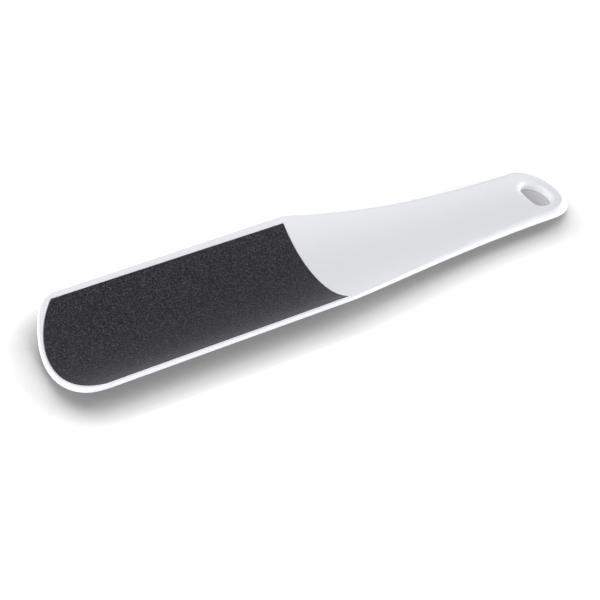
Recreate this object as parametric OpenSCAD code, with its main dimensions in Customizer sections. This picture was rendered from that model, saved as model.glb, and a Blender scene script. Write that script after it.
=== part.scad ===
// Foot file: a moulded plastic paddle, bent across its width into a trough, with an abrasive sheet
// glued into a shallow recess on each face of the head.
// The nose points to -X, the tail with the hanging hole to +X, and the hollow face looks up.
// The origin is under the middle of the length, on the surface that the round face lies on.

/* [Paddle] */
// Overall length from nose to tail
total_len = 240; // [210:1:280]
// Width of the head at the shoulders, straight across
head_w = 56; // [50:0.2:62]
// Width of the head at the nose corners, a little narrower than at the shoulders
nose_w = 55; // [46:0.2:60]
// Width of the grip where it meets the round tail
grip_w = 33.4; // [26:0.2:44]
// Distance from the nose to the shoulders
shoulder_at = 116; // [110:1:135]
// Half of the length over which each shoulder is rounded
shoulder_run = 3; // [1:0.5:10]
// Radius of the nose, seen from above
nose_r = 45; // [36:0.5:80]
// Radius of the two nose corners
nose_corner_r = 9.5; // [4:0.5:16]

/* [Trough] */
// Radius of the hollow face of the head
trough_r = 40.7; // [37:0.5:70]
// Wall of the head
head_t = 1.9; // [1.6:0.1:3]
// Wall of the grip at the tail
grip_t = 4.1; // [2.4:0.1:5]
// How far the floor of the trough climbs from the head to the tail
grip_rise = 2.1; // [0:0.1:5]
// Gap between the sheets' straight ends and the start of the climb
rise_gap = 8; // [2:0.5:20]

/* [Hanging hole] */
// Radius of the round side of the hole
hole_r = 8.5; // [6:0.1:10]
// Land between the hole and the end of the tail
hole_land = 6.9; // [4:0.1:10]
// Distance from the centre of the round side to the flat side
hole_flat = 1.9; // [1:0.1:4]
// Radius of the two corners between the flat and the round side
hole_corner_r = 3.7; // [2:0.1:4.5]

/* [Abrasive sheets] */
// Length of each sheet from its round end to its straight end
sheet_len = 112; // [90:1:113]
// Width of each sheet before it is wrapped into the trough
sheet_w = 54.2; // [40:0.2:55]
// Radius of the sheet's round end before it is wrapped
sheet_nose_r = 39.5; // [30:0.5:60]
// Land between the nose of the paddle and the sheet
nose_land = 2; // [1:0.1:4]
// Gap all round a sheet in its recess
sheet_gap = 0.2; // [0.1:0.05:0.5]
// Depth of each recess
recess_d = 0.5; // [0.2:0.05:0.7]
// Thickness of the adhesive film
glue_t = 0.1; // [0.05:0.05:0.3]
// Thickness of the backing
backing_t = 0.3; // [0.2:0.05:0.5]
// Thickness of the bonded grit
grit_t = 0.3; // [0.2:0.05:0.8]

/* [Hidden] */

// Steps along the arcs and the climb, and the round of a turned shell
arc_steps = 16;
blend_steps = 4;
climb_steps = 12;
turn_steps = 240;
// How far each cut runs past what it cuts
overrun = 1;

// Places along the length
nose_x = -total_len / 2;
tail_x = total_len / 2;
shoulder_x = nose_x + shoulder_at;
sheet_nose_x = nose_x + nose_land;
sheet_end_x = sheet_nose_x + sheet_len;
climb_x = sheet_end_x + rise_gap;
tail_c = [tail_x - grip_w / 2, 0];

// Radii of the layers about the axis of the trough, from the hollow face outwards
front_floor_r = trough_r + recess_d;
front_backing_r = front_floor_r - glue_t;
front_grit_r = front_backing_r - backing_t;
rear_floor_r = trough_r + head_t - recess_d;
rear_backing_r = rear_floor_r + glue_t;
rear_grit_r = rear_backing_r + backing_t;
belly_r = rear_grit_r + grit_t;
// Height of that axis, with the lowest line of the rear grit at zero
axis_z = max(belly_r, trough_r + head_t);

// Turns a distance along the hollow face into an angle about the axis
function wrap_angle(s) = s / trough_r * 180 / PI;

function arc(c, r, a0, a1) =
    [for (i = [0:arc_steps]) let (a = a0 + (a1 - a0) * i / arc_steps) c + r * [cos(a), sin(a)]];
function mirrored(half) = [for (i = [len(half) - 1:-1:0]) [half[i][0], -half[i][1]]];
function both_halves(half) = concat(half, mirrored(half));

// Nose: one arc, with a rounded corner into each side of the head
nose_c = [nose_x + nose_r, 0];
corner_y = nose_w / 2 - nose_corner_r;
corner_c = [nose_c[0] - sqrt(pow(nose_r - nose_corner_r, 2) - pow(corner_y, 2)), corner_y];
corner_a = atan2(corner_y, corner_c[0] - nose_c[0]);

// Grip: one wide arc from each shoulder, running straight into the round tail
sweep_len = tail_c[0] - shoulder_x;
sweep_in = (head_w - grip_w) / 2;
sweep_r = (pow(sweep_len, 2) + pow(sweep_in, 2)) / (2 * sweep_in);
sweep_c = [tail_c[0], grip_w / 2 + sweep_r];
sweep_a = asin((sweep_len - shoulder_run) / sweep_r);

// Shoulder: a short curve that leaves the side of the head and joins the arc of the grip
side_end = [corner_c[0], nose_w / 2];
shoulder = [shoulder_x, head_w / 2];
run_share = shoulder_run / (shoulder_x - side_end[0]);
shoulder_from = shoulder + (side_end - shoulder) * run_share;
shoulder_to = sweep_c + sweep_r * [-sin(sweep_a), -cos(sweep_a)];
function bend(a, b, c) =
    [for (i = [0:blend_steps]) let (t = i / blend_steps)
        pow(1 - t, 2) * a + 2 * t * (1 - t) * b + pow(t, 2) * c];

paddle_half = concat(
    arc(nose_c, nose_r, 180, corner_a),
    arc(corner_c, nose_corner_r, corner_a, 90),
    bend(shoulder_from, shoulder, shoulder_to),
    arc(sweep_c, sweep_r, 270 - sweep_a, 270),
    arc(tail_c, grip_w / 2, 90, 0)
);

// Sheet: cut flat with one round end, then wrapped, so its width shrinks as it climbs the trough
function sheet_half(gap) = let (
        half_w = sheet_w / 2 + gap,
        r = sheet_nose_r + gap,
        end_x = sheet_end_x + gap,
        a = asin(half_w / r)
    ) concat(
        [for (p = arc([sheet_nose_x + sheet_nose_r, 0], r, 180, 180 - a))
            [p[0], trough_r * sin(wrap_angle(p[1]))]],
        [[end_x, trough_r * sin(wrap_angle(half_w))]]
    );

// Hanging hole: round towards the tail and flat towards the head
hole_c = [tail_x - hole_land - hole_r, 0];
hole_flat_x = hole_c[0] - hole_flat;
hole_corner_x = hole_flat_x + hole_corner_r;
hole_corner_c = [
    hole_corner_x,
    sqrt(pow(hole_r - hole_corner_r, 2) - pow(hole_corner_x - hole_c[0], 2))
];
hole_corner_a = atan2(hole_corner_c[1], hole_corner_x - hole_c[0]);
hole_half = concat(
    arc(hole_c, hole_r, 0, hole_corner_a),
    arc(hole_corner_c, hole_corner_r, hole_corner_a, 180)
);

// Share of the climb that is behind a place along the length
function climb_share(x) = min(1, max(0, (x - climb_x) / (tail_x - climb_x)));
function front_r(x) = trough_r - grip_rise * sin(90 * climb_share(x));
function rear_r(x) = front_r(x) + head_t + (grip_t - head_t) * climb_share(x);
climb_at = [for (i = [0:climb_steps]) climb_x + (tail_x - climb_x) * i / climb_steps];
stations = concat([nose_x - overrun], climb_at, [tail_x + overrun]);
shell_profile = concat(
    [for (x = stations) [front_r(x), x]],
    [for (i = [len(stations) - 1:-1:0]) [rear_r(stations[i]), stations[i]]]
);

// Turns a profile of radii and places along the length about the axis of the trough
module turned(profile)
    translate([0, 0, axis_z])
        rotate([0, 90, 0])
            rotate_extrude($fn = turn_steps) polygon(profile);

// A column that holds all of an outline, below the axis
module column(half)
    translate([0, 0, -overrun])
        linear_extrude(axis_z + overrun) polygon(both_halves(half));

// A layer between two radii, cut to an outline
module layer(inner_r, outer_r, half)
    intersection() {
        turned([
            [inner_r, nose_x - overrun], [outer_r, nose_x - overrun],
            [outer_r, tail_x + overrun], [inner_r, tail_x + overrun]
        ]);
        column(half);
    }

module paddle()
    color("whitesmoke")
        difference() {
            intersection() {
                turned(shell_profile);
                column(paddle_half);
            }
            layer(trough_r - overrun, front_floor_r, sheet_half(sheet_gap));
            layer(rear_floor_r, trough_r + head_t + overrun, sheet_half(sheet_gap));
            column(hole_half);
        }

module front_adhesive() color("khaki") layer(front_backing_r, front_floor_r, sheet_half(0));
module front_backing() color("saddlebrown") layer(front_grit_r, front_backing_r, sheet_half(0));
module front_grit() color("dimgray") layer(front_grit_r - grit_t, front_grit_r, sheet_half(0));
module rear_adhesive() color("khaki") layer(rear_floor_r, rear_backing_r, sheet_half(0));
module rear_backing() color("saddlebrown") layer(rear_backing_r, rear_grit_r, sheet_half(0));
module rear_grit() color("dimgray") layer(rear_grit_r, belly_r, sheet_half(0));

paddle();
front_adhesive();
front_backing();
front_grit();
rear_adhesive();
rear_backing();
rear_grit();
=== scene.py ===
import math

import bpy
from bpy.props import FloatProperty, FloatVectorProperty, PointerProperty
from mathutils import Matrix, Vector, noise


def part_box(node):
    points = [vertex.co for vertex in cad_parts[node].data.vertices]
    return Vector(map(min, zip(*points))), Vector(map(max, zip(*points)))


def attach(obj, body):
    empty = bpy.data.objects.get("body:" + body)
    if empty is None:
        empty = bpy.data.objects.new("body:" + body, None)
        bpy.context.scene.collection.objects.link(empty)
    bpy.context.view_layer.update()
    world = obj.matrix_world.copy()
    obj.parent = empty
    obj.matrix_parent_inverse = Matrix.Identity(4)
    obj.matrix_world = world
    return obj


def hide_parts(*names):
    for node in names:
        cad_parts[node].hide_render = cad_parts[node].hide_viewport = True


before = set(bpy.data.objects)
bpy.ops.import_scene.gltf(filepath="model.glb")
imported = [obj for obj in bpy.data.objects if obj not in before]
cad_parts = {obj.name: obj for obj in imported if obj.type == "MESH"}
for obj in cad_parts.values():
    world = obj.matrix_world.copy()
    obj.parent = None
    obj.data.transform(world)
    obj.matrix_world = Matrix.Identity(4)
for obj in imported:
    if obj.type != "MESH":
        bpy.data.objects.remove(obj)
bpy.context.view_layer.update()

bl_info = {
    "name": "Foot File",
    "version": (1, 0, 0),
    "blender": (4, 5, 0),
    "location": "3D View > Sidebar > Foot File",
    "description": "A paddle bent into a trough, with an abrasive sheet on each face of its head",
    "category": "Add Mesh",
}

BODY = "root"
MM = 0.001

# Points nearer than the first count as one place, and corners nearer than the second merge
SAME_PLACE = MM / 100
MERGE = MM / 200

# Both ends of the paddle and of the sheets, as the frame has them
nose_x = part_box("paddle")[0].x
tail_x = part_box("paddle")[1].x
sheet_nose_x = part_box("front_grit")[0].x
sheet_end_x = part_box("front_grit")[1].x


# Settings

def length(name, description, default):
    """A size in metres that a user can change."""
    return FloatProperty(
        name=name, description=description, default=default, min=0, precision=5,
        subtype="DISTANCE", unit="LENGTH"
    )


def share(name, description, default):
    """A share from 0 to 1 that a user can change."""
    return FloatProperty(
        name=name, description=description, default=default, min=0, max=1, subtype="FACTOR"
    )


def ratio(name, description, default):
    """A plain number that a user can change."""
    return FloatProperty(name=name, description=description, default=default, min=0)


def angle(name, description, degrees):
    """An angle that a user can change, from its value in degrees."""
    return FloatProperty(
        name=name, description=description, default=math.radians(degrees), subtype="ANGLE"
    )


def linear(code):
    """The linear colour, with alpha, of an sRGB hex value such as "#A0B0C0"."""
    shares = [int(code[i:i + 2], 16) / 255 for i in (1, 3, 5)]
    return tuple(
        s / 12.92 if s <= 0.04045 else ((s + 0.055) / 1.055) ** 2.4 for s in shares
    ) + (1.0,)


def colour(name, description, code):
    """A colour that a user can change, from its sRGB hex value."""
    return FloatVectorProperty(
        name=name, description=description, default=linear(code), size=4, min=0, max=1,
        subtype="COLOR"
    )


class PaddleSettings(bpy.types.PropertyGroup):
    """Sizes and colour of the moulded paddle."""

    head_w: length("Head width", "Width of the head at the shoulders", 0.056)
    nose_w: length("Nose width", "Width of the head at the nose corners", 0.055)
    grip_w: length("Grip width", "Width of the grip where it meets the round tail", 0.0334)
    shoulder_at: length("Shoulder place", "Distance from the nose to the shoulders", 0.116)
    shoulder_run: length("Shoulder run", "Half the length that rounds each shoulder", 0.003)
    nose_r: length("Nose radius", "Radius of the nose, seen from above", 0.045)
    nose_corner_r: length("Nose corner radius", "Radius of the two nose corners", 0.0095)
    trough_r: length("Trough radius", "Radius of the hollow face of the head", 0.0407)
    head_t: length("Head wall", "Wall of the head", 0.0019)
    grip_t: length("Grip wall", "Wall of the grip at the tail", 0.0041)
    grip_rise: length("Grip rise", "Climb of the trough's floor from head to tail", 0.0021)
    rise_gap: length("Rise gap", "Gap between the sheets' straight ends and the climb", 0.008)
    hole_r: length("Hole radius", "Radius of the round side of the hanging hole", 0.0085)
    hole_land: length("Hole land", "Land between the hole and the end of the tail", 0.0069)
    hole_flat: length("Hole flat", "From the round side's centre to the flat side", 0.0019)
    hole_corner_r: length("Hole corner radius", "Radius of the corners of the hole", 0.0037)
    hole_flare: length("Hole flare", "How far the hole widens into the hollow face", 0.0026)
    hole_flare_d: length("Flare depth", "Depth of that widening", 0.0016)
    hole_under_r: length("Lower hole rim", "Radius of the hole's rim below", 0.0005)
    head_edge_r: length("Upper head rim", "Radius of the head's upper rim", 0.0012)
    head_under_r: length("Lower head rim", "Radius of the head's lower rim", 0.00025)
    grip_top: share("Upper grip rim", "Share of the grip's wall that its upper rim takes", 0.8)
    grip_spread: ratio("Rim spread", "Width of the grip's upper rim over its depth", 0.95)
    grip_fall: ratio("Rim fall", "1 for a round upper rim, more for a sloping one", 1.5)
    grip_under: share("Lower grip rim", "Share of the wall that the lower rim takes", 0.12)
    lip_r: length("Recess lip rounding", "Radius of the lip round each recess", 0.0001)
    plastic: colour("Plastic", "Colour of the moulding", "#EBECF0")


class SheetSettings(bpy.types.PropertyGroup):
    """Sizes and colours of the abrasive sheets and their recesses."""

    flat_w: length("Sheet width", "Width of each sheet before it is wrapped", 0.0542)
    flat_nose_r: length("Sheet nose radius", "Radius of the sheet's round end, flat", 0.0395)
    gap: length("Gap", "Gap all round a sheet in its recess", 0.0002)
    recess_d: length("Recess depth", "Depth of each recess", 0.0005)
    glue_t: length("Adhesive thickness", "Thickness of the adhesive film", 0.0001)
    backing_t: length("Backing thickness", "Thickness of the backing", 0.0003)
    grit_t: length("Grit thickness", "Thickness of the bonded grit", 0.0003)
    grain: length("Grain spacing", "Distance between neighbouring grains", 0.0003)
    relief: length("Grain relief", "Height of the grains over their resin", 0.00008)
    grit: colour("Grit", "Colour of the darkest grains and of the resin", "#030204")
    grain_middle: colour("Middle grain", "Colour of most grains", "#15141A")
    # The lightest grains stand partly for painted glints
    grain_light: colour("Light grain", "Colour of the lightest grains", "#4B4A53")
    backing: colour("Backing", "Colour of the backing's cut edge", "#3A332C")
    adhesive: colour("Adhesive", "Colour of the adhesive film's edge", "#CDB98A")


class StageSettings(bpy.types.PropertyGroup):
    """Where the camera stands and what it looks at."""

    lens: FloatProperty(
        name="Lens", description="Focal length on a 36 mm sensor", default=79.83, unit="CAMERA"
    )
    azimuth: angle("Azimuth", "Turn of the camera about the object", -32.831)
    elevation: angle("Elevation", "Angle of the camera above the floor", 41.697)
    roll: angle("Roll", "Tilt of the camera about its own axis", 3.674)
    distance: length("Distance", "From the camera to the point it looks at", 0.5226)
    aim: FloatVectorProperty(
        name="Aim", description="The point that the camera looks at",
        default=(-0.018417, -0.0105125, 0.0023), subtype="TRANSLATION", unit="LENGTH"
    )


def settings():
    """The three groups of settings of this scene."""
    scene = bpy.context.scene
    return scene.foot_file_paddle, scene.foot_file_sheets, scene.foot_file_stage


# Outlines, seen from above

# Steps along each of their parts
NOSE_STEPS = 20
NOSE_CORNER_STEPS = 12
SIDE_STEPS = 30
SHOULDER_STEPS = 5
SWEEP_STEPS = 48
TAIL_STEPS = 32
HOLE_STEPS = 20
HOLE_CORNER_STEPS = 16
SHEET_NOSE_STEPS = 24


def arc(centre, radius, start, end, steps):
    """Points (x, y) along an arc, with both ends, from angle start to angle end in degrees."""
    points = []
    for i in range(steps + 1):
        a = math.radians(start + (end - start) * i / steps)
        points.append(Vector((centre[0] + radius * math.cos(a), centre[1] + radius * math.sin(a))))
    return points


def line(start, end, steps):
    """Points along a straight line, without its ends."""
    return [start.lerp(end, i / steps) for i in range(1, steps)]


def with_place_at(points, x):
    """The same line of points with one more, where it passes a place along the length."""
    for i, (a, b) in enumerate(zip(points, points[1:])):
        if a.x < x < b.x:
            return points[:i + 1] + [a.lerp(b, (x - a.x) / (b.x - a.x))] + points[i + 1:]
    return points


def both_halves(half):
    """The closed outline whose half on the +Y side runs from end to end."""
    return half + [Vector((x, -y)) for x, y in reversed(half) if abs(y) > SAME_PLACE]


def on_outline(point, outline):
    """True if a point lies on a closed outline, seen from above."""
    for a, b in zip(outline[-1:] + outline, outline):
        along = b - a
        t = min(1, max(0, (point.xy - a).dot(along) / along.length_squared))
        if (a + along * t - point.xy).length < SAME_PLACE:
            return True
    return False


def paddle_outline(p):
    """Outline of the paddle: round nose, flared head, shoulders, one wide sweep, round tail."""
    nose_c = Vector((nose_x + p.nose_r, 0))
    corner_y = p.nose_w / 2 - p.nose_corner_r
    corner_x = nose_c.x - math.sqrt((p.nose_r - p.nose_corner_r) ** 2 - corner_y ** 2)
    corner_a = math.degrees(math.atan2(corner_y, corner_x - nose_c.x))
    side_end = Vector((corner_x, p.nose_w / 2))

    # The sweep is an arc that leaves the shoulder and runs straight into the round tail
    tail_c = Vector((tail_x - p.grip_w / 2, 0))
    shoulder = Vector((nose_x + p.shoulder_at, p.head_w / 2))
    sweep_len = tail_c.x - shoulder.x
    sweep_in = (p.head_w - p.grip_w) / 2
    sweep_r = (sweep_len ** 2 + sweep_in ** 2) / (2 * sweep_in)
    sweep_c = Vector((tail_c.x, p.grip_w / 2 + sweep_r))
    sweep_a = math.degrees(math.asin((sweep_len - p.shoulder_run) / sweep_r))
    sweep = arc(sweep_c, sweep_r, 270 - sweep_a, 270, SWEEP_STEPS)

    # The shoulder is a short curve from the side of the head to the start of the sweep
    before = shoulder.lerp(side_end, p.shoulder_run / (shoulder.x - side_end.x))
    turn = []
    for i in range(SHOULDER_STEPS):
        t = i / SHOULDER_STEPS
        turn.append(before.lerp(shoulder, t).lerp(shoulder.lerp(sweep[0], t), t))

    half = arc(nose_c, p.nose_r, 180, corner_a, NOSE_STEPS)
    half += arc((corner_x, corner_y), p.nose_corner_r, corner_a, 90, NOSE_CORNER_STEPS)[1:]
    half += line(side_end, before, SIDE_STEPS) + turn
    half += with_place_at(sweep, sheet_end_x + p.rise_gap)
    half += arc(tail_c, p.grip_w / 2, 90, 0, TAIL_STEPS)[1:]
    return both_halves(half)


def hole_centre(p):
    """Centre of the hanging hole's round side."""
    return Vector((tail_x - p.hole_land - p.hole_r, 0))


def hole_outline(p, grow):
    """Outline of the hanging hole, round to the tail and flat to the head, grown by a distance."""
    centre = hole_centre(p)
    corner_x = centre.x - p.hole_flat + p.hole_corner_r
    corner_y = math.sqrt((p.hole_r - p.hole_corner_r) ** 2 - (corner_x - centre.x) ** 2)
    corner_a = math.degrees(math.atan2(corner_y, corner_x - centre.x))
    half = arc(centre, p.hole_r + grow, 0, corner_a, HOLE_STEPS)
    corner_r = p.hole_corner_r + grow
    half += arc((corner_x, corner_y), corner_r, corner_a, 180, HOLE_CORNER_STEPS)[1:]
    return both_halves(half)


def wrapped(p, along, across):
    """Where a point of the flat sheet lies once the sheet is wrapped into the trough."""
    return Vector((along, p.trough_r * math.sin(across / p.trough_r)))


def sheet_start(s, across, gap=0.0):
    """Where a sheet's round end lies along the length, at a distance across the flat sheet."""
    return sheet_nose_x + s.flat_nose_r - math.sqrt((s.flat_nose_r + gap) ** 2 - across ** 2)


def recess_outline(p, s):
    """Outline of a recess: the sheet's own outline and its gap."""
    half_w = s.flat_w / 2 + s.gap
    half = []
    for i in range(SHEET_NOSE_STEPS + 1):
        across = half_w * i / SHEET_NOSE_STEPS
        half.append(wrapped(p, sheet_start(s, across, s.gap), across))
    corner = wrapped(p, sheet_end_x + s.gap, half_w)
    half += line(half[-1], corner, SIDE_STEPS) + [corner, Vector((corner.x, 0))]
    return both_halves(half)


# Heights and rims

# The rims soften this many times as fast as the trough's floor climbs
SOFTENING = 3


def climb_share(p, x):
    """How much of the climb from head to tail lies behind a place on the length, from 0 to 1."""
    climb_x = sheet_end_x + p.rise_gap
    return min(1, max(0, (x - climb_x) / (tail_x - climb_x)))


def wall(p, x):
    """Wall of the paddle at a place along the length."""
    return p.head_t + (p.grip_t - p.head_t) * climb_share(p, x)


def softened(p, x, at_head, at_grip):
    """A measure of the rim at a place along the length, from the head's to the softer grip's."""
    return at_head + (at_grip - at_head) * min(1, SOFTENING * climb_share(p, x))


def rounding(width, depth, steps, fall=1.0):
    """How far in and how deep each step of a rounding lies, from the face to the wall.

    A fall of 1 is round, and more slopes it.
    """
    angles = [math.pi / 2 * i / steps for i in range(steps)]
    places = [
        (width * (1 - math.sin(a) ** fall), depth * (1 - math.cos(a) ** fall)) for a in angles
    ]
    return places + [(0, depth)]


def carried_on(steps):
    """A rounding's first step, carried on half as far again over the face."""
    (inset, _), (next_inset, next_depth) = steps[:2]
    return inset + (inset - next_inset) / 2, -next_depth / 2


def bend_into_trough(mesh, p, s):
    """Bends a flat shape into the trough.

    Its depth under the hollow face becomes a radius about the trough's axis.
    """
    axis_z = p.trough_r + p.head_t - s.recess_d + s.glue_t + s.backing_t + s.grit_t
    for vertex in mesh.vertices:
        x, y, z = vertex.co
        floor_r = p.trough_r - p.grip_rise * math.sin(math.pi / 2 * climb_share(p, x))
        vertex.co.z = axis_z - math.sqrt((floor_r - z) ** 2 - y ** 2)


# Modelling

def deselect_all():
    """Leaves nothing selected, as every operator acts on all that is."""
    if bpy.context.mode != "OBJECT":
        bpy.ops.object.mode_set(mode="OBJECT")
    bpy.ops.object.select_all(action="DESELECT")


def pick(piece):
    """Selects one piece alone."""
    deselect_all()
    bpy.context.view_layer.objects.active = piece
    piece.select_set(True)


def edit(piece, kind="VERT"):
    """Opens a piece in edit mode with nothing selected."""
    pick(piece)
    bpy.ops.object.mode_set(mode="EDIT")
    bpy.ops.mesh.select_mode(type=kind)
    bpy.ops.mesh.select_all(action="DESELECT")


def select_edges(piece, wanted):
    """Opens a piece with those edges selected for which wanted(first end, second end) is true."""
    edit(piece, "EDGE")
    bpy.ops.object.mode_set(mode="OBJECT")
    points = piece.data.vertices
    for e in piece.data.edges:
        e.select = wanted(points[e.vertices[0]].co, points[e.vertices[1]].co)
    bpy.ops.object.mode_set(mode="EDIT")


def finish_edit():
    """Merges doubles, points all faces outwards and leaves edit mode."""
    bpy.ops.mesh.select_all(action="SELECT")
    bpy.ops.mesh.remove_doubles(threshold=MERGE)
    bpy.ops.mesh.normals_make_consistent(inside=False)
    bpy.ops.object.mode_set(mode="OBJECT")


def clean(piece):
    """Merges a piece's doubles and points all its faces outwards."""
    edit(piece)
    finish_edit()


def apply(piece, kind, **options):
    """Adds a modifier and applies it."""
    pick(piece)
    modifier = piece.modifiers.new(kind, kind)
    for key, value in options.items():
        setattr(modifier, key, value)
    bpy.ops.object.modifier_apply(modifier=modifier.name)


def stack(name, rings):
    """A solid through rings of equally many points, from the top one down.

    It is one face, extruded again and again.
    """
    deselect_all()
    bpy.ops.mesh.primitive_circle_add(vertices=len(rings[0]), fill_type="NGON")
    piece = bpy.context.object
    piece.name = piece.data.name = name
    places = {(v.co.x, v.co.y): i for i, v in enumerate(piece.data.vertices)}
    edit(piece)
    bpy.ops.mesh.select_all(action="SELECT")
    for _ in rings[1:]:
        bpy.ops.mesh.extrude_region_move(TRANSFORM_OT_translate={"value": (0, 0, -1)})
    bpy.ops.object.mode_set(mode="OBJECT")
    for vertex in piece.data.vertices:
        ring = rings[round(-vertex.co.z)]
        vertex.co = ring[places[(vertex.co.x, vertex.co.y)]]
    clean(piece)
    return piece


def block(name, outline, low, high):
    """A flat block with that outline, from height low to height high."""
    return stack(name, [[(x, y, z) for x, y in outline] for z in (high, low)])


def cut_away(piece, cutter):
    """Takes the cutter's shape out of the piece and deletes the cutter."""
    apply(piece, "BOOLEAN", object=cutter, operation="DIFFERENCE", solver="EXACT")
    bpy.data.objects.remove(cutter)


def slice_up(piece, places, normal):
    """Cuts the faces of a piece along parallel planes, so that it can bend."""
    edit(piece)
    for place in places:
        bpy.ops.mesh.select_all(action="SELECT")
        bpy.ops.mesh.bisect(plane_co=place, plane_no=normal)
    finish_edit()


def spread(low, high, step):
    """Places between two ends, at most a step apart, without the ends."""
    count = math.ceil((high - low) / step)
    return [low + (high - low) * i / count for i in range(1, count)]


def smooth(piece, crease):
    """Shades a piece smooth, but for edges sharper than an angle in degrees."""
    pick(piece)
    bpy.ops.object.shade_smooth_by_angle(angle=math.radians(crease))


def coat(piece, material):
    """Gives a piece one material all over."""
    piece.data.materials.clear()
    piece.data.materials.append(material)


def hand_over(piece, node):
    """Makes a piece ride on the body and hides the CAD node whose place it takes."""
    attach(piece, BODY)
    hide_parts(node)


# Pieces

# Steps of the roundings in the upper and the lower face
UPPER_RIM_STEPS = 9
LOWER_RIM_STEPS = 6
UPPER_HOLE_STEPS = 8
LOWER_HOLE_STEPS = 6
LIP_STEPS = 2
# Widest face across the trough, which is tightly curved, and along it
ACROSS_STEP = 1.3 * MM
ALONG_STEP = 7 * MM
# Edges sharper than this, in degrees, stay sharp
PADDLE_CREASE = 50
GRIT_CREASE = 60
# Mesh step over grain spacing: about as fine as a sheet under 200,000 triangles can have it
MESH_STEP = 1.37
# How much finer the relief's second noise is than its first
FINER = 2.3


class FOOTFILE_OT_paddle(bpy.types.Operator):
    """Models the moulded paddle: a flat blank with rims, hole and recesses, bent into a trough"""

    bl_idname = "foot_file.paddle"
    bl_label = "Paddle"

    def execute(self, context):
        p, s, _ = settings()
        paddle = stack("moulded_paddle", self.rim_rings(p))
        slice_up(paddle, [(sheet_end_x + p.rise_gap, 0, 0)], (1, 0, 0))
        cut_away(paddle, stack("hole", self.hole_rings(p)))

        # Recesses, with a lip that is barely rounded
        past = 2 * p.grip_t
        recess = recess_outline(p, s)
        cut_away(paddle, block("front_recess", recess, -s.recess_d, past))
        cut_away(paddle, block("rear_recess", recess, -past, s.recess_d - p.head_t))

        def on_lip(a, b):
            in_upper_face = max(a.z, b.z) > -SAME_PLACE
            in_lower_face = min(a.z, b.z) < SAME_PLACE - p.head_t
            level = abs(a.z - b.z) < SAME_PLACE
            in_face = level and (in_upper_face or in_lower_face)
            return in_face and on_outline(a, recess) and on_outline(b, recess)

        select_edges(paddle, on_lip)
        bpy.ops.mesh.bevel(
            offset=p.lip_r, segments=LIP_STEPS, affect="EDGES", clamp_overlap=False
        )
        finish_edit()

        # Cuts across and along, so that every face can follow the trough
        across = [(0, y, 0) for y in spread(-p.head_w / 2, p.head_w / 2, ACROSS_STEP)]
        along = [(x, 0, 0) for x in spread(nose_x, tail_x, ALONG_STEP)]
        slice_up(paddle, across, (0, 1, 0))
        slice_up(paddle, along, (1, 0, 0))
        bend_into_trough(paddle.data, p, s)
        clean(paddle)
        smooth(paddle, PADDLE_CREASE)
        apply(paddle, "WEIGHTED_NORMAL", keep_sharp=True)
        coat(paddle, moulded_plastic(p))
        hand_over(paddle, "paddle")
        return {"FINISHED"}

    def rim_rings(self, p):
        """Rings of the blank: an upper rounding, the wall and a lower one, soft at the grip."""
        outline = paddle_outline(p)
        inwards = []
        for i in range(len(outline)):
            along = outline[(i + 1) % len(outline)] - outline[i - 1]
            inwards.append(Vector((along.y, -along.x)).normalized())

        def upper_ring(step):
            points = []
            for point, inward in zip(outline, inwards):
                grip_r = wall(p, point.x) * p.grip_top
                radius = softened(p, point.x, p.head_edge_r, grip_r)
                width = radius * softened(p, point.x, 1, p.grip_spread)
                fall = softened(p, point.x, 1, p.grip_fall)
                inset, depth = rounding(width, radius, UPPER_RIM_STEPS, fall)[step]
                x, y = point + inward * inset
                points.append((x, y, -depth))
            return points

        def lower_ring(step):
            points = []
            for point, inward in zip(outline, inwards):
                grip_r = wall(p, point.x) * p.grip_under
                radius = softened(p, point.x, p.head_under_r, grip_r)
                inset, depth = rounding(radius, radius, LOWER_RIM_STEPS)[step]
                x, y = point + inward * inset
                points.append((x, y, depth - wall(p, x)))
            return points

        upper = [upper_ring(step) for step in range(UPPER_RIM_STEPS + 1)]
        lower = [lower_ring(step) for step in range(LOWER_RIM_STEPS + 1)]
        return upper + lower[::-1]

    def hole_rings(self, p):
        """Rings of the hole: flared into both faces, and past them so that it cuts clean."""
        upper = rounding(p.hole_flare, p.hole_flare_d, UPPER_HOLE_STEPS)
        lower = rounding(p.hole_under_r, p.hole_under_r, LOWER_HOLE_STEPS)
        top = carried_on(upper)
        bottom = carried_on(lower)
        past = 2 * p.grip_t
        rings = [[(x, y, past) for x, y in hole_outline(p, top[0])]]
        for grow, depth in [top] + upper[1:]:
            rings.append([(x, y, -depth) for x, y in hole_outline(p, grow)])
        for grow, depth in lower[:0:-1] + [bottom]:
            rings.append([(x, y, depth - wall(p, x)) for x, y in hole_outline(p, grow)])
        rings.append([(x, y, -past) for x, y in hole_outline(p, bottom[0])])
        return rings


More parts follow.
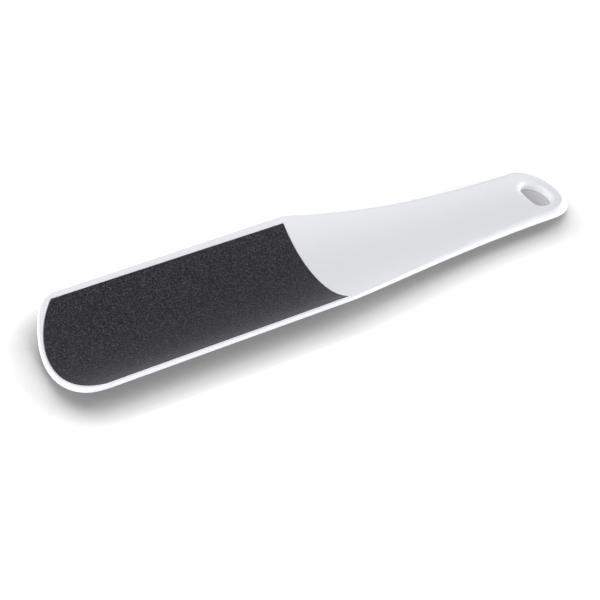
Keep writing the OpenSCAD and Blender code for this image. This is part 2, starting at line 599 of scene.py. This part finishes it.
class FOOTFILE_OT_grit(bpy.types.Operator):
    """Models the bonded grit of both sheets, with its grains, and wraps it to the trough"""

    bl_idname = "foot_file.grit"
    bl_label = "Grit of both sheets"

    def execute(self, context):
        p, s, _ = settings()
        proud = s.glue_t + s.backing_t + s.grit_t - s.recess_d
        grit = bonded_grit(s)
        for name, node, surface, side in (
            ("front_grit_layer", "front_grit", proud, 1),
            ("rear_grit_layer", "rear_grit", -p.head_t - proud, -1),
        ):
            sheet = self.flat_sheet(name, s)
            self.raise_grains(sheet, s, side)
            apply(sheet, "SOLIDIFY", thickness=s.grit_t, offset=-side)
            for vertex in sheet.data.vertices:
                x, across, z = vertex.co
                vertex.co = (*wrapped(p, x, across), surface + z)
            bend_into_trough(sheet.data, p, s)
            clean(sheet)
            smooth(sheet, GRIT_CREASE)
            coat(sheet, grit)
            hand_over(sheet, node)
        return {"FINISHED"}

    def flat_sheet(self, name, s):
        """The sheet as it is cut, flat: a grid whose one end is pushed into an arc."""
        cell = s.grain * MESH_STEP
        deselect_all()
        bpy.ops.mesh.primitive_grid_add(
            x_subdivisions=round((sheet_end_x - sheet_nose_x) / cell),
            y_subdivisions=round(s.flat_w / cell),
            size=1,
        )
        sheet = bpy.context.object
        sheet.name = sheet.data.name = name
        for vertex in sheet.data.vertices:
            across = vertex.co.y * s.flat_w
            start = sheet_start(s, across)
            vertex.co = (start + (vertex.co.x + 0.5) * (sheet_end_x - start), across, 0)
        return sheet

    def raise_grains(self, sheet, s, side):
        """Lets the resin between the grains sink below the tops of the grains, by two noises."""
        for vertex in sheet.data.vertices:
            place = Vector((vertex.co.x, vertex.co.y, side)) / s.grain
            height = (noise.noise(place) + noise.noise(place * FINER)) / 2
            vertex.co.z = -side * s.relief * min(1, max(0, 0.5 - height))


class FOOTFILE_OT_layers(bpy.types.Operator):
    """Finishes the adhesive films and the backings, whose edges show round the grit"""

    bl_idname = "foot_file.layers"
    bl_label = "Adhesive and backing"

    def execute(self, context):
        _, s, _ = settings()
        backing = resin_paper(s)
        adhesive = adhesive_film(s)
        for face in ("front", "rear"):
            coat(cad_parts[f"{face}_backing"], backing)
            coat(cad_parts[f"{face}_adhesive"], adhesive)
        return {"FINISHED"}


# Materials

def new_material(name):
    """A material and its empty node tree."""
    material = bpy.data.materials.new(name)
    material.use_nodes = True
    tree = material.node_tree
    tree.nodes.clear()
    return material, tree


def add(tree, kind, inputs=(), **options):
    """Adds a shader node, sets its options, and fills its inputs with values or from sockets."""
    node = tree.nodes.new("ShaderNode" + kind)
    for key, value in options.items():
        setattr(node, key, value)
    for key, value in dict(inputs).items():
        if isinstance(value, bpy.types.NodeSocket):
            tree.links.new(value, node.inputs[key])
        else:
            node.inputs[key].default_value = value
    return node


def moulded_plastic(p):
    """White ABS, injection moulded in a satin-polished mould.

    It gives the eye a broad soft gloss. The gloss drifts a little, as the melt flowed, over
    14 mm, and the skin is barely uneven over 1.6 mm.
    """
    material, tree = new_material("satin_moulded_abs")
    place = add(tree, "TexCoord").outputs["Object"]
    flow = add(tree, "TexNoise", {"Vector": place, "Scale": 1 / (14 * MM), "Detail": 2.0})
    skin = add(tree, "TexNoise", {"Vector": place, "Scale": 1 / (1.6 * MM), "Detail": 3.0})
    rough = add(tree, "MapRange", {
        "Value": flow.outputs["Fac"],
        "To Min": 0.38,
        "To Max": 0.46,
    })
    bump = add(tree, "Bump", {
        "Height": skin.outputs["Fac"],
        "Strength": 0.15,
        "Distance": 0.02 * MM,
    })
    shader = add(tree, "BsdfPrincipled", {
        "Base Color": tuple(p.plastic),
        "Roughness": rough.outputs["Result"],
        "Normal": bump.outputs["Normal"],
        "IOR": 1.5,
    })
    add(tree, "OutputMaterial", {"Surface": shader.outputs["BSDF"]})
    return material


def bonded_grit(s):
    """Black silicon carbide grains in dark resin.

    They give the eye a dull speckle. Their bumps catch the light, and the lightest grains are
    partly painted glints. Real grains of about 0.2 mm would be too fine to show, so they are
    drawn 0.3 mm apart.
    """
    material, tree = new_material("silicon_carbide_grit")
    place = add(tree, "TexCoord").outputs["Object"]
    cells = add(tree, "TexVoronoi", {"Vector": place, "Scale": 1 / s.grain, "Randomness": 1.0})
    grain = add(tree, "SeparateColor", {"Color": cells.outputs["Color"]})
    shade = add(tree, "ValToRGB", {"Fac": grain.outputs["Red"]})
    ramp = shade.color_ramp.elements
    ramp[0].color = tuple(s.grit)
    # The lightest grains are drawn lighter partly as painted glints
    ramp[1].color = tuple(s.grain_light)
    # Just over half of the grains are darker than the middle one
    ramp.new(0.55).color = tuple(s.grain_middle)
    bump = add(tree, "Bump", {
        "Height": cells.outputs["Distance"],
        "Strength": 0.5,
        "Distance": 0.15 * MM,
    }, invert=True)
    shader = add(tree, "BsdfPrincipled", {
        "Base Color": shade.outputs["Color"],
        "Roughness": 0.6,
        "Specular IOR Level": 0.2,
        "Sheen Weight": 0.19,
        "Sheen Roughness": 0.35,
        "Normal": bump.outputs["Normal"],
        "IOR": 1.55,
    })
    add(tree, "OutputMaterial", {"Surface": shader.outputs["BSDF"]})
    return material


def resin_paper(s):
    """Resin-soaked paper backing, cut with a knife.

    Its edge is dull, with a faint mottle. Real fibres would be too fine to show, so the mottle
    is drawn 0.4 mm wide.
    """
    material, tree = new_material("resin_soaked_paper")
    place = add(tree, "TexCoord").outputs["Object"]
    fibres = add(tree, "TexNoise", {"Vector": place, "Scale": 1 / (0.4 * MM), "Detail": 3.0})
    # The mottle's dark places are 0.7 times as light as the paper
    dark = tuple(c * 0.7 for c in s.backing[:3]) + (1.0,)
    shade = add(tree, "Mix", {
        0: fibres.outputs["Fac"],
        6: dark,
        7: tuple(s.backing),
    }, data_type="RGBA")
    shader = add(tree, "BsdfPrincipled", {"Base Color": shade.outputs[2], "Roughness": 0.85})
    add(tree, "OutputMaterial", {"Surface": shader.outputs["BSDF"]})
    return material


def adhesive_film(s):
    """Acrylic adhesive film: amber, and glossy in places where its tacky edge shows."""
    material, tree = new_material("acrylic_adhesive_film")
    place = add(tree, "TexCoord").outputs["Object"]
    cloud = add(tree, "TexNoise", {"Vector": place, "Scale": 1 / (3 * MM), "Detail": 2.0})
    rough = add(tree, "MapRange", {
        "Value": cloud.outputs["Fac"],
        "To Min": 0.35,
        "To Max": 0.55,
    })
    shader = add(tree, "BsdfPrincipled", {
        "Base Color": tuple(s.adhesive),
        "Roughness": rough.outputs["Result"],
    })
    add(tree, "OutputMaterial", {"Surface": shader.outputs["BSDF"]})
    return material


# Stage

# Each lamp: its name, turn about the object and elevation in degrees, and power
LAMPS = (
    ("low_front_lamp", -33, 5, 2.2),
    ("low_side_lamp", 57, 5, 7.4),
    ("tail_lamp", 102, 5, 3.5),
    ("low_back_lamp", 192, 5, 1.0),
    ("back_lamp", 237, 22, 3.7),
    ("nose_lamp", -78, 40, 2.4),
)
# In metres: from the object to each lamp, and across each lamp and the floor
LAMP_DISTANCE = 0.9
LAMP_WIDTH = 0.4
FLOOR_WIDTH = 6
# How strongly the dome lights the object, where 1 is white
DOME_LIGHT = 0.385
WHITE = (1, 1, 1, 1)
# The floor as it lights the object: its colour, and a faint glow with which the floor, though no
# lamp, lights the underside
FLOOR_COLOUR = (0.8, 0.8, 0.8, 1)
FLOOR_GLOW = 0.2
# How much of the floor's seen tone is drawn, the rest being lit by the lamps
PLAIN_SHARE = 0.8
# The tone of the open floor, a little above white so that the lamps leave no grey on it
OPEN_TONE = 1.1
# The drawn shadow, as of three wide lights. For each: its turn and elevation in degrees, the
# shadow's reach, how open the floor is to it where the shadow is darkest and where it ends,
# and the tones of those two places
SHADOWS = (
    (147, 5, 14 * MM, 0.53, 0.955, 0.28, 1.108),
    (118, 8, 14 * MM, 0.609, 1.001, 0.302, 1.088),
    (70, 8, 22 * MM, 0.571, 0.901, 0.5, 1.132),
)
# Rays that measure how open the floor is, at each point
SHADOW_SAMPLES = 16
# Painted shade on the floor under the hanging hole: its tones at the hole's centre and at its tail
# side
PAINTED_HOLE_SHADE = (0.41, 0.58)


def direction(azimuth, elevation):
    """From the object towards a place round it: azimuth 0 is on the -Y side."""
    flat = math.cos(elevation)
    return Vector((math.sin(azimuth) * flat, -math.cos(azimuth) * flat, math.sin(elevation)))


def seen_directly(tree):
    """1 for rays from the camera, a glossy surface or a clear one, 0 for the light that falls."""
    path = add(tree, "LightPath")
    either = add(tree, "Math", {
        0: path.outputs["Is Camera Ray"],
        1: path.outputs["Is Glossy Ray"],
    }, operation="MAXIMUM")
    return add(tree, "Math", {
        0: either.outputs[0],
        1: path.outputs["Is Transmission Ray"],
    }, operation="MAXIMUM").outputs[0]


def shadow_tone(tree):
    """Tone of the floor: a soft shadow, as wide beside a low rim as beside a high one."""
    darkest = OPEN_TONE
    for azimuth, elevation, reach, closed, open_end, dark, light in SHADOWS:
        towards = direction(math.radians(azimuth), math.radians(elevation))
        way = add(tree, "CombineXYZ", dict(enumerate(towards)))
        near = add(tree, "AmbientOcclusion", {
            "Distance": reach,
            "Normal": way.outputs[0],
        }, samples=SHADOW_SAMPLES)
        tone = add(tree, "MapRange", {
            "Value": near.outputs["AO"],
            "From Min": closed,
            "From Max": open_end,
            "To Min": dark,
            "To Max": light,
        })
        lower = add(tree, "Math", {0: darkest, 1: tone.outputs["Result"]}, operation="MINIMUM")
        darkest = lower.outputs[0]
    return darkest


def painted_shade_under_hole(tree, tone, p):
    """The same tone, but under the hanging hole it gives way to a painted shade, lighter to the
    tail.
    """
    hole_x = hole_centre(p).x
    place = add(tree, "NewGeometry").outputs["Position"]
    away = add(tree, "VectorMath", {0: place, 1: (hole_x, 0, 0)}, operation="DISTANCE")
    under_hole = add(tree, "MapRange", {
        "Value": away.outputs["Value"],
        "From Min": p.hole_r,
        "From Max": p.hole_r + p.hole_land / 2,
        "To Min": 1.0,
        "To Max": 0.0,
    })
    along = add(tree, "SeparateXYZ", {"Vector": place}).outputs["X"]
    # A painted shade, from darker at the hole's centre to lighter at its tail side
    painted_hole_tone = add(tree, "MapRange", {
        "Value": along,
        "From Min": hole_x,
        "From Max": hole_x + p.hole_r,
        "To Min": PAINTED_HOLE_SHADE[0],
        "To Max": PAINTED_HOLE_SHADE[1],
    })
    evened = add(tree, "Mix", {
        0: under_hole.outputs["Result"],
        2: tone,
        3: painted_hole_tone.outputs["Result"],
    })
    return evened.outputs[0]


def white_floor(p):
    """Matt white paper sweep.

    It gives the eye pure white round a soft shadow, and from below it is clear.
    """
    material, tree = new_material("white_paper_sweep")
    # What the object is lit by
    thrown = add(tree, "BsdfDiffuse", {"Color": FLOOR_COLOUR})
    glow = add(tree, "Emission", {"Strength": FLOOR_GLOW})
    lit = add(tree, "AddShader", {0: thrown.outputs[0], 1: glow.outputs[0]})
    # What is seen: partly a lit surface, with its real shadow, and mostly the drawn shadow, with a
    # painted shade under the hanging hole
    tone = painted_shade_under_hole(tree, shadow_tone(tree), p)
    shaded = add(tree, "BsdfDiffuse", {"Color": tone})
    plain = add(tree, "Emission", {"Color": tone})
    bright = add(tree, "MixShader", {
        0: PLAIN_SHARE,
        1: shaded.outputs[0],
        2: plain.outputs[0],
    })
    paper = add(tree, "MixShader", {
        0: seen_directly(tree),
        1: lit.outputs[0],
        2: bright.outputs[0],
    })
    clear = add(tree, "BsdfTransparent")
    mix = add(tree, "MixShader", {
        0: add(tree, "NewGeometry").outputs["Backfacing"],
        1: paper.outputs[0],
        2: clear.outputs[0],
    })
    add(tree, "OutputMaterial", {"Surface": mix.outputs[0]})
    return material


class FOOTFILE_OT_stage(bpy.types.Operator):
    """Sets up the white floor, the soft lamps, the world and the camera"""

    bl_idname = "foot_file.stage"
    bl_label = "Stage"

    def execute(self, context):
        p, _, stage = settings()
        scene = context.scene
        scene.view_settings.view_transform = "Standard"
        self.make_camera(scene, stage)
        self.make_floor(p)
        self.make_world(scene)
        for name, azimuth, elevation, power in LAMPS:
            self.make_lamp(scene, name, azimuth, elevation, power)
        return {"FINISHED"}

    def make_camera(self, scene, stage):
        """A camera that looks at its aim from the set direction, tilted by its roll."""
        back = direction(stage.azimuth, stage.elevation)
        right = Vector((math.cos(stage.azimuth), math.sin(stage.azimuth), 0))
        up = back.cross(right)
        turned_right = right * math.cos(stage.roll) + up * math.sin(stage.roll)
        turned_up = up * math.cos(stage.roll) - right * math.sin(stage.roll)
        data = bpy.data.cameras.new("camera")
        data.sensor_width = 36
        data.sensor_fit = "HORIZONTAL"
        data.lens = stage.lens
        data.clip_start = 10 * MM
        camera = bpy.data.objects.new("camera", data)
        turn = Matrix((turned_right, turned_up, back)).transposed().to_4x4()
        place = Vector(stage.aim) + back * stage.distance
        camera.matrix_world = Matrix.Translation(place) @ turn
        scene.collection.objects.link(camera)
        scene.camera = camera

    def make_floor(self, p):
        """A floor far wider than the view."""
        deselect_all()
        bpy.ops.mesh.primitive_plane_add(size=FLOOR_WIDTH)
        floor = bpy.context.object
        floor.name = "floor"
        coat(floor, white_floor(p))

    def make_world(self, scene):
        """A plain grey dome that lights the object, and is white where it is seen directly."""
        world = bpy.data.worlds.new("studio")
        world.use_nodes = True
        tree = world.node_tree
        tree.nodes.clear()
        dome = add(tree, "Background", {"Color": WHITE, "Strength": DOME_LIGHT})
        white = add(tree, "Background", {"Color": WHITE, "Strength": 1.0})
        mix = add(tree, "MixShader", {
            0: seen_directly(tree),
            1: dome.outputs[0],
            2: white.outputs[0],
        })
        add(tree, "OutputWorld", {"Surface": mix.outputs[0]})
        scene.world = world

    def make_lamp(self, scene, name, azimuth, elevation, power):
        """A wide square lamp that faces the object."""
        data = bpy.data.lights.new(name, "AREA")
        data.shape = "SQUARE"
        data.size = LAMP_WIDTH
        data.energy = power
        lamp = bpy.data.objects.new(name, data)
        back = direction(math.radians(azimuth), math.radians(elevation))
        lamp.location = back * LAMP_DISTANCE
        lamp.rotation_mode = "QUATERNION"
        lamp.rotation_quaternion = back.to_track_quat("Z", "Y")
        scene.collection.objects.link(lamp)


# Panel

class FOOTFILE_PT_panel(bpy.types.Panel):
    """The steps of the foot file, in order"""

    bl_idname = "FOOTFILE_PT_panel"
    bl_label = "Foot File"
    bl_space_type = "VIEW_3D"
    bl_region_type = "UI"
    bl_category = "Foot File"

    def draw(self, context):
        for name, group, steps in GROUPS:
            box = self.layout.box()
            owner = getattr(context.scene, name)
            for setting in group.__annotations__:
                box.prop(owner, setting)
            for step in steps:
                box.operator(step.bl_idname)


# Each group of settings, and the steps that it stands over in the panel
GROUPS = (
    ("foot_file_paddle", PaddleSettings, (FOOTFILE_OT_paddle,)),
    ("foot_file_sheets", SheetSettings, (FOOTFILE_OT_grit, FOOTFILE_OT_layers)),
    ("foot_file_stage", StageSettings, (FOOTFILE_OT_stage,)),
)


def register():
    """Adds the settings, the steps and the panel."""
    for name, group, steps in GROUPS:
        bpy.utils.register_class(group)
        setattr(bpy.types.Scene, name, PointerProperty(type=group))
        for step in steps:
            bpy.utils.register_class(step)
    bpy.utils.register_class(FOOTFILE_PT_panel)


def unregister():
    """Takes them away again."""
    bpy.utils.unregister_class(FOOTFILE_PT_panel)
    for name, group, steps in reversed(GROUPS):
        for step in reversed(steps):
            bpy.utils.unregister_class(step)
        delattr(bpy.types.Scene, name)
        bpy.utils.unregister_class(group)


def main():
    """Builds the foot file and its stage."""
    register()
    bpy.ops.foot_file.paddle()
    bpy.ops.foot_file.grit()
    bpy.ops.foot_file.layers()
    bpy.ops.foot_file.stage()
    bpy.context.view_layer.update()


if __name__ == "__main__":
    main()
